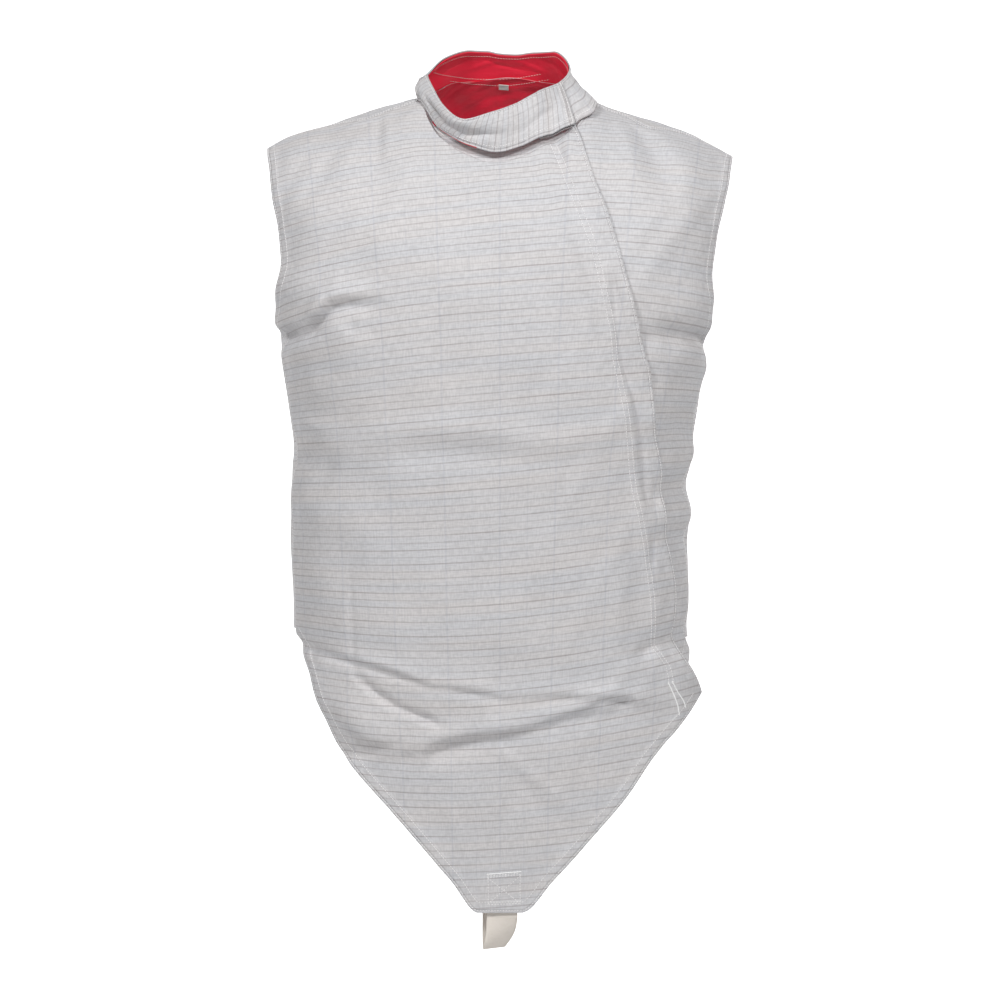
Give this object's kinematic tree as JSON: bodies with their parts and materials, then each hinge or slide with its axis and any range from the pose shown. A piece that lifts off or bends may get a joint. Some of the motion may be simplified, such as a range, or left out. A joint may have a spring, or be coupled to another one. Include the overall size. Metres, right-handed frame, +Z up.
{
  "type": "fencing lame",
  "caption": "Sleeveless metallic cloth over-vest for fencing, with a stand collar, an offset front flap, a long pointed front hem and a crotch strap, hollow as if worn.",
  "frame": {"origin": "between the wearer's shoulders, midway across the neck, at the height of the side of the neck", "axes": "+Z up along the wearer's body, -Y towards the wearer's front, +X towards the wearer's left"},
  "size_m": [0.4656, 0.2572, 0.8928],
  "materials": {
    "lame_cloth": "fine metallic weave with thin grey-brown stripes and a soft sheen",
    "red_lining": "smooth satin-faced nylon",
    "white_tape": "woven tape, bare",
    "webbing": "off-white woven webbing"
  },
  "bodies": {
    "root": {"main_front": "lame_cloth", "left_side_front": "lame_cloth", "back": "lame_cloth", "front_collar": "lame_cloth", "back_collar": "lame_cloth", "collar_lining": "red_lining", "back_neck_lining": "red_lining", "size_label": "white_tape", "crotch_strap": "webbing"}
  },
  "joints": []
}
